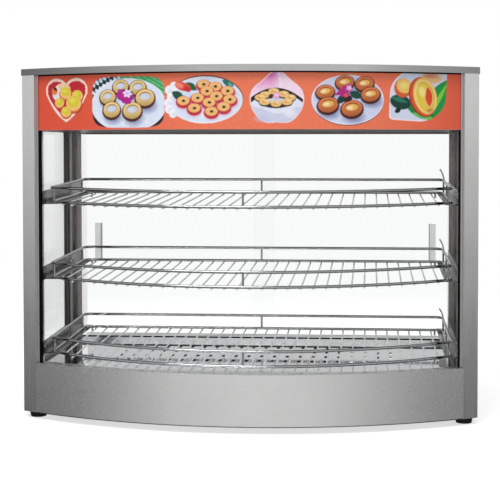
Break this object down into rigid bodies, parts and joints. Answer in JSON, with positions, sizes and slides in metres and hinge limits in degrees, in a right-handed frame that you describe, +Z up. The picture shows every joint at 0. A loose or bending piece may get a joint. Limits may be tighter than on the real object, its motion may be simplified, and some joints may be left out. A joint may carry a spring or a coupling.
{
  "type": "hot food display case",
  "caption": "Bow-fronted heated countertop display case with wire shelves, a lit sign, sliding rear glass doors and rear controls.",
  "frame": {"origin": "on the worktop, under the middle of the case's outline including its rear knob", "axes": "+X to the customer's right, +Y towards the operator's doors at the back, +Z up"},
  "size_m": [0.853, 0.5219, 0.656],
  "materials": {
    "brushed_steel": "vertical-grain brushed stainless steel",
    "lid_steel": "brushed stainless steel, grain along the lid",
    "dark_steel": "darker brushed stainless steel in the case's shade",
    "deck_steel": "bright annealed sheet",
    "track_aluminium": "satin anodised",
    "support_steel": "satin",
    "screw_steel": "satin",
    "sign_print": "printed translucent acrylic, lit from behind",
    "clear_glass": "clear tempered",
    "black_rubber": "matte",
    "pull_aluminium": "satin anodised",
    "glide_plastic": "moulded nylon",
    "chrome_rail": "bright plated wire",
    "chrome_wire": "bright plated wire",
    "tube_glass": "frosted lamp tube",
    "ivory_plastic": "moulded",
    "diffuser_plastic": "opal acrylic",
    "element_steel": "heat-darkened sheath",
    "thermostat_case": "plated housing",
    "brass_shaft": "turned",
    "knob_plastic": "moulded with a fine texture",
    "copper_bulb": "drawn copper",
    "dial_aluminium": "printed scale of plain tick marks",
    "red_rocker": "translucent moulded",
    "green_rocker": "translucent moulded",
    "amber_lens": "translucent lens",
    "gland_nylon": "moulded nylon",
    "loom_rubber": "insulated lead"
  },
  "bodies": {
    "case": {"base_pan": "deck_steel", "front_apron": "brushed_steel", "side_base_left": "brushed_steel", "side_base_right": "brushed_steel", "rear_control_panel": "brushed_steel", "front_post_left": "brushed_steel", "front_post_right": "brushed_steel", "rear_post_left": "dark_steel", "rear_post_right": "dark_steel", "deck": "deck_steel", "ceiling_panel": "dark_steel", "side_top_left": "brushed_steel", "side_top_right": "brushed_steel", "rear_top_panel": "brushed_steel", "lid": "lid_steel", "header_sign": "sign_print", "front_glass": "clear_glass", "front_seals": "black_rubber", "side_glass_left": "clear_glass", "side_glass_right": "clear_glass", "side_seals": "black_rubber", "door_track_bottom": "track_aluminium", "door_track_top": "dark_steel", "shelf_supports_left": "support_steel", "shelf_supports_right": "support_steel", "support_screws": "screw_steel", "lamp_tube": "tube_glass", "lamp_holders": "ivory_plastic", "lamp_diffuser": "diffuser_plastic", "heating_elements": "element_steel", "element_brackets": "deck_steel", "heat_shield": "deck_steel", "thermostat_body": "thermostat_case", "thermostat_bulb": "copper_bulb", "dial_plate": "dial_aluminium", "switch_housings": "knob_plastic", "pilot_lamps": "amber_lens", "cable_gland": "gland_nylon", "terminal_block": "ivory_plastic", "wiring_loom": "loom_rubber", "feet": "black_rubber", "foot_screws": "screw_steel", "panel_screws": "screw_steel"},
    "door_left": {"door_left_glass": "clear_glass", "door_left_handle": "pull_aluminium", "door_left_glides": "glide_plastic"},
    "door_right": {"door_right_glass": "clear_glass", "door_right_handle": "pull_aluminium", "door_right_glides": "glide_plastic"},
    "shelf_bottom": {"shelf_bottom_rails": "chrome_rail", "shelf_bottom_wires": "chrome_wire"},
    "shelf_middle": {"shelf_middle_rails": "chrome_rail", "shelf_middle_wires": "chrome_wire"},
    "shelf_top": {"shelf_top_rails": "chrome_rail", "shelf_top_wires": "chrome_wire"},
    "knob": {"thermostat_shaft": "brass_shaft", "thermostat_knob": "knob_plastic"},
    "heat_rocker": {"heat_switch_rocker": "red_rocker"},
    "light_rocker": {"light_switch_rocker": "green_rocker"}
  },
  "joints": [
    {"name": "door_left_slide", "type": "slide", "parent": "case", "child": "door_left", "axis": [1, 0, 0], "range_m": [0, 0.365]},
    {"name": "door_right_slide", "type": "slide", "parent": "case", "child": "door_right", "axis": [-1, 0, 0], "range_m": [0, 0.365]},
    {"name": "shelf_bottom_lift", "type": "slide", "parent": "case", "child": "shelf_bottom", "axis": [0, 0, 1], "range_m": [0, 0.04]},
    {"name": "shelf_middle_lift", "type": "slide", "parent": "case", "child": "shelf_middle", "axis": [0, 0, 1], "range_m": [0, 0.04]},
    {"name": "shelf_top_lift", "type": "slide", "parent": "case", "child": "shelf_top", "axis": [0, 0, 1], "range_m": [0, 0.04]},
    {"name": "thermostat_turn", "type": "hinge", "parent": "case", "child": "knob", "pos_m": [-0.15, 0.2395, 0.054], "axis": [0, 1, 0], "range_deg": [0, 270]},
    {"name": "heat_switch_rock", "type": "hinge", "parent": "case", "child": "heat_rocker", "pos_m": [-0.04, 0.2355, 0.054], "axis": [1, 0, 0], "range_deg": [0, 20]},
    {"name": "light_switch_rock", "type": "hinge", "parent": "case", "child": "light_rocker", "pos_m": [0.02, 0.2355, 0.054], "axis": [1, 0, 0], "range_deg": [0, 20]}
  ]
}
